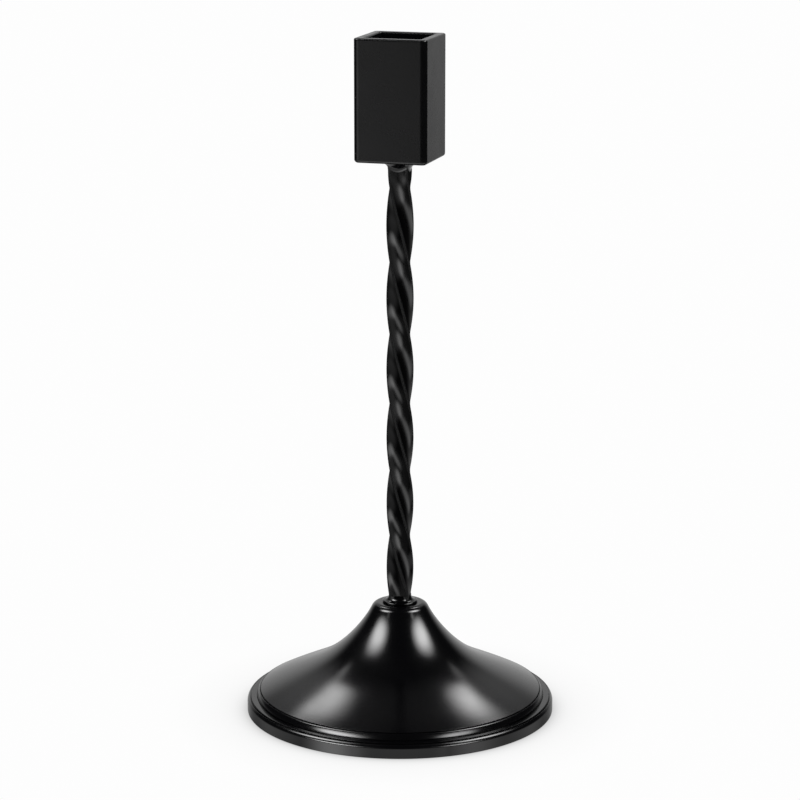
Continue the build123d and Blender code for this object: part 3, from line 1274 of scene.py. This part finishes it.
    def dress(self, finishes: Finishes) -> None:
        """Build and place the pieces, the screw and the bolt with their threads.

        Args:
            finishes: Materials of the candlestick.
        """
        tree = self.thread_tree()
        plain = self.bolt_plain + self.thread_run_out
        bolt_thread = self.bolt_length - plain - self.tip_plain
        screw_foot = self.screw_top - self.screw_length + self.tip_plain
        threads = {
            "cup_screw": (self.build_screw(), screw_foot, self.screw_thread),
            "base_bolt": (self.build_bolt(), self.bolt_seat + plain, bolt_thread),
        }
        for node, (piece, start, length) in threads.items():
            values = {
                "Thread Radius": self.shank * MM,
                "Pitch": self.pitch * MM,
                "Length": length * MM,
                "Start Height": start * MM,
                "Depth": self.thread_depth * MM,
                "Plating": finishes.zinc,
            }
            place_piece(bake_nodes(piece, tree, values), node, finishes.zinc)
        place_piece(self.build_clamp_washer(), "clamp_washer", finishes.zinc)
        place_piece(self.build_spring_washer(), "spring_washer", finishes.zinc)


class LampShape(Enum):
    """Outline of a lamp's face."""

    BOX = "RECTANGLE"
    ROUND = "ELLIPSE"


@dataclass(frozen=True)
class Lamp:
    """Soft lamp, by its direction and size in degrees as seen from the candlestick.

    Azimuth 0 is towards the camera and grows to the camera's right. Radiance 1 is as bright as the page.
    The light fades from a plateau round its middle to the share that its edge keeps.
    """

    name: str
    azimuth: float
    elevation: float
    wide: float
    tall: float
    radiance: float
    edge_share: float = 0.1
    roll: float = 0.0
    plateau: float = 0.15
    shape: LampShape = LampShape.ROUND

    def make(self, distance: float) -> Light:
        """Make the light.

        Args:
            distance: Distance in metres at which the lamp has its size in degrees.

        Returns:
            The light.
        """
        light = bpy.data.lights.new(self.name, "AREA")
        light.shape = self.shape.value
        light.size = 2 * distance * tan(radians(self.wide / 2))
        light.size_y = 2 * distance * tan(radians(self.tall / 2))
        fill = pi / 4 if self.shape is LampShape.ROUND else 1.0
        light.energy = self.radiance * pi * light.size * light.size_y * fill
        if self.edge_share < 1.0:
            light.use_nodes = True
            tree = light.node_tree
            tree.nodes.clear()
            spot = add_node(tree, "ShaderNodeNewGeometry").outputs["Parametric"]
            off = add_node(tree, VECTOR_MATH, {0: spot, 1: (0.5, 0.5, 0.0)}, operation="DISTANCE")
            ends = {"From Min": self.plateau, "From Max": 0.5, "To Min": 1.0, "To Max": self.edge_share}
            fade = add_node(tree, MAP_RANGE, {"Value": off, **ends}, interpolation_type="SMOOTHSTEP")
            glow = add_node(tree, "ShaderNodeEmission", {"Strength": fade})
            add_node(tree, "ShaderNodeOutputLight", {"Surface": glow})
        return light


@dataclass(frozen=True)
class Card(Lamp):
    """Square white card, as bright at its edges as in its middle."""

    edge_share: float = 1.0
    shape: LampShape = LampShape.BOX


@dataclass
class Studio:
    """Floor, lamps and camera, in metres and degrees."""

    camera_azimuth: float = 16.52
    camera_pitch: float = 13.208
    camera_distance: float = 1.163983
    camera_height: float = 0.404205
    lens: float = 132.49
    sensor: float = 36.0
    clip: tuple[float, float] = (0.05, 50.0)
    aim: Vector = field(default_factory=lambda: Vector((0.0, 0.0, 0.1)))
    lamp_distance: float = 4.0
    lamps: Sequence[Lamp] = (
        Lamp("left_softbox", -76.0, 44.5, 46.0, 30.0, 14.0, roll=28.0, plateau=0.1),
        Lamp("right_softbox", 76.0, 44.5, 46.0, 30.0, 14.8, roll=-28.0, plateau=0.1),
        Lamp("left_fore", -51.0, 33.0, 12.0, 9.0, 1.4, plateau=0.1),
        Lamp("right_fore", 53.0, 33.0, 14.0, 10.0, 3.0, plateau=0.1),
        Lamp("left_rear_lamp", -149.0, 49.0, 11.0, 21.0, 7.6, plateau=0.1),
        Lamp("right_rear_lamp", 149.0, 50.0, 11.0, 17.0, 9.0, plateau=0.1),
        Lamp("left_rear_wash", -154.0, 34.0, 30.0, 22.0, 0.4, plateau=0.1),
        Lamp("left_rear_tail", -136.0, 44.0, 20.0, 9.0, 1.7, plateau=0.1),
        Lamp("right_rear_wash", 154.0, 34.0, 30.0, 22.0, 0.4, plateau=0.1),
        Lamp("right_rear_tail", 136.0, 44.0, 20.0, 9.0, 1.2, plateau=0.1),
        Lamp("backdrop", 180.0, 5.0, 96.0, 68.0, 0.66, edge_share=0.05),
        Lamp("overhead", 180.0, 56.0, 80.0, 50.0, 0.09, edge_share=0.3),
    )
    cup_lamps: Sequence[Lamp] = (
        Card("cup_front_card", -49.0, -7.0, 30.0, 16.0, 1.05),
        Card("cup_low_left_card", -60.0, -32.0, 100.0, 22.0, 0.35),
        Card("cup_low_right_card", 60.0, -34.0, 100.0, 20.0, 0.35),
        Card("cup_low_rear_card", 180.0, -32.0, 100.0, 22.0, 0.35),
        Card("cup_table_glow", 0.0, -64.0, 100.0, 44.0, 1.3),
    )
    collar_lamps: Sequence[Lamp] = (
        Lamp("collar_table_glow", 0.0, -90.0, 150.0, 150.0, 0.65, edge_share=1.0),
        Lamp("collar_front_strip", -5.0, -24.0, 60.0, 34.0, 2.4),
    )
    bar_lamps: Sequence[Lamp] = (
        Lamp("bar_left_strip", -60.0, -4.0, 40.0, 18.0, 2.3),
        Lamp("bar_left_tail", -36.0, -13.0, 64.0, 13.0, 1.9, roll=-15.0),
        Lamp("bar_front_strip", 10.0, -8.0, 56.0, 14.0, 2.9, edge_share=0.05),
        Lamp("bar_right_strip", 64.0, -17.5, 106.0, 14.0, 1.6, roll=-7.0),
        Lamp("bar_right_low_strip", 74.0, -30.0, 50.0, 14.0, 0.4),
        Lamp("bar_upper_wash", -12.0, 1.0, 110.0, 16.0, 0.42),
        Lamp("bar_left_wash", -94.0, -10.0, 64.0, 30.0, 0.25),
        Lamp("bar_rear_wash", -142.0, -14.0, 64.0, 28.0, 0.09),
        Lamp("bar_right_wash", 134.0, -18.0, 84.0, 20.0, 0.2),
        Card("bar_under_wash", 0.0, -26.0, 110.0, 16.0, 0.08),
    )
    bell_lamps: Sequence[Lamp] = (
        Card("bell_front_card", 0.0, -20.0, 64.0, 16.0, 0.62),
        Lamp("bell_left_card", -51.0, -19.0, 52.0, 36.0, 3.6, edge_share=0.05, plateau=0.0),
        Lamp("bell_right_card", 55.0, -20.0, 54.0, 30.0, 1.7, plateau=0.0),
        Lamp("bell_left_side_card", -100.0, -20.0, 60.0, 22.0, 0.42, edge_share=0.3),
        Lamp("bell_right_side_card", 100.0, -20.0, 60.0, 22.0, 0.45, edge_share=0.3),
        Lamp("bell_left_strip", -49.0, 6.0, 48.0, 18.0, 16.0, edge_share=0.03),
        Lamp("bell_right_strip", 45.0, 6.0, 38.0, 18.0, 10.0, edge_share=0.03),
    )
    page: float = 0.985
    contact_reach: float = 0.035
    contact_share: float = 0.75
    contact_samples: int = 24
    floor_radius: float = 6.0
    plinth_edge: tuple[float, float] = (0.08, 0.12)
    plinth_share: float = 0.2
    dark_room: float = 0.02

    def direction(self, azimuth: float, elevation: float) -> Vector:
        """Direction from the candlestick.

        Args:
            azimuth: Angle in degrees to the camera's right.
            elevation: Angle in degrees above the level.

        Returns:
            The direction, one unit long.
        """
        turn = radians(azimuth + self.camera_azimuth)
        rise = radians(elevation)
        return Vector((sin(turn) * cos(rise), -cos(turn) * cos(rise), sin(rise)))

    def add_camera(self) -> None:
        """Add the camera where the photograph was taken from."""
        lens = bpy.data.cameras.new("camera")
        lens.lens, lens.sensor_width = self.lens, self.sensor
        lens.clip_start, lens.clip_end = self.clip
        camera = new_object("camera", lens)
        turn = radians(self.camera_azimuth)
        camera.location = (
            self.camera_distance * sin(turn),
            -self.camera_distance * cos(turn),
            self.camera_height,
        )
        camera.rotation_euler = (radians(90 - self.camera_pitch), 0.0, turn)
        bpy.context.scene.camera = camera

    def add_lamps(self, lamps: Sequence[Lamp], lit: Collection) -> None:
        """Put lamps in their places, out of the camera's sight.

        Args:
            lamps: Lamps to add.
            lit: Pieces that they light, or leave out.
        """
        for lamp in lamps:
            holder = new_object(lamp.name, lamp.make(self.lamp_distance))
            out = self.direction(lamp.azimuth, lamp.elevation)
            holder.location = self.aim + out * self.lamp_distance
            holder.rotation_euler = out.to_track_quat("Z", "Y").to_euler()
            holder.rotation_euler.rotate_axis("Z", radians(lamp.roll))
            holder.visible_camera = False
            holder.light_linking.receiver_collection = lit

    def add_light(self) -> None:
        """Light all but the bar, then single pieces by low lamps that are flagged off from the rest."""
        pieces = bpy.data.objects
        others = bpy.data.collections.new("lit_by_softboxes")
        others.objects.link(pieces["twisted_bar"])
        others.collection_objects[0].light_linking.link_state = "EXCLUDE"
        self.add_lamps(self.lamps, others)
        flagged = {
            "powder_coated_tube": self.cup_lamps,
            "conical_collar": self.collar_lamps,
            "twisted_bar": self.bar_lamps,
            "spun_bell": self.bell_lamps,
        }
        for name, lamps in flagged.items():
            lit = bpy.data.collections.new(f"lit_{name}")
            lit.objects.link(pieces[name])
            self.add_lamps(lamps, lit)

    def add_floor(self) -> None:
        """Add the page-white floor, which glows with its own even light, with soft contact shade painted into
        the glow from ambient occlusion.

        It is clear from below. Away from the plinth under the foot the paint does not mirror it.
        """
        material, tree, place = new_surface("pale_studio_floor")
        # Painted shade: ambient occlusion darkens the floor's glow near the candlestick, standing in for its
        # contact shadow
        shade = add_node(
            tree, "ShaderNodeAmbientOcclusion", {"Distance": self.contact_reach}, samples=self.contact_samples
        )
        ends = {"To Min": self.page * (1.0 - self.contact_share), "To Max": self.page}
        bright = add_node(tree, MAP_RANGE, {"Value": shade.outputs["AO"], **ends})
        glow = add_node(tree, "ShaderNodeEmission", {"Strength": bright})
        away = add_node(tree, VECTOR_MATH, {0: place}, operation="LENGTH")
        low, high = self.plinth_edge
        edge = {"From Min": low, "From Max": high, "To Min": 1.0 - self.plinth_share}
        beyond = add_node(tree, MAP_RANGE, {"Value": away, **edge}, interpolation_type="SMOOTHSTEP")
        seen = add_node(tree, "ShaderNodeLightPath").outputs["Is Camera Ray"]
        unseen = add_node(tree, MATH, {0: beyond, 1: seen}, operation="SUBTRACT", use_clamp=True)
        under = add_node(tree, "ShaderNodeNewGeometry").outputs["Backfacing"]
        through = add_node(tree, MATH, {0: unseen, 1: under}, operation="MAXIMUM")
        clear = add_node(tree, "ShaderNodeBsdfTransparent")
        sided = add_node(tree, "ShaderNodeMixShader", {0: through, 1: glow, 2: clear})
        add_node(tree, "ShaderNodeOutputMaterial", {"Surface": sided})
        rim = arc((0.0, 0.0), self.floor_radius, 0, 360, SMALL_ROUND)[:-1]
        mesh = bpy.data.meshes.new("studio_floor")
        mesh.from_pydata([(x, y, 0.0) for x, y in rim], [], [range(len(rim))])
        mesh.materials.append(material)
        new_object("studio_floor", mesh)

    def add_room(self) -> None:
        """Make the room dark round the lamps, with a white page behind for the camera."""
        scene = bpy.context.scene
        scene.world = bpy.data.worlds.new("studio_room")
        scene.world.use_nodes = True
        tree = scene.world.node_tree
        tree.nodes.clear()
        seen = add_node(tree, "ShaderNodeLightPath").outputs["Is Camera Ray"]
        strength = add_node(tree, MAP_RANGE, {"Value": seen, "To Min": self.dark_room, "To Max": self.page})
        sky = add_node(tree, "ShaderNodeBackground", {"Strength": strength})
        add_node(tree, "ShaderNodeOutputWorld", {"Surface": sky})
        scene.view_settings.view_transform = "Standard"
        scene.view_settings.look = "None"

    def build(self) -> None:
        """Set up the whole studio."""
        self.add_camera()
        self.add_floor()
        self.add_light()
        self.add_room()


def main() -> None:
    """Build every sub-assembly in order, from the cup to the studio."""
    logging.basicConfig(level=logging.INFO, format="%(name)s: %(message)s")
    finishes = Finishes()
    stem = Stem()
    Cup().dress(finishes)
    stem.dress(finishes)
    Foot().dress(finishes, stem)
    Fasteners().dress(finishes)
    Studio().build()


if __name__ == "__main__":
    main()
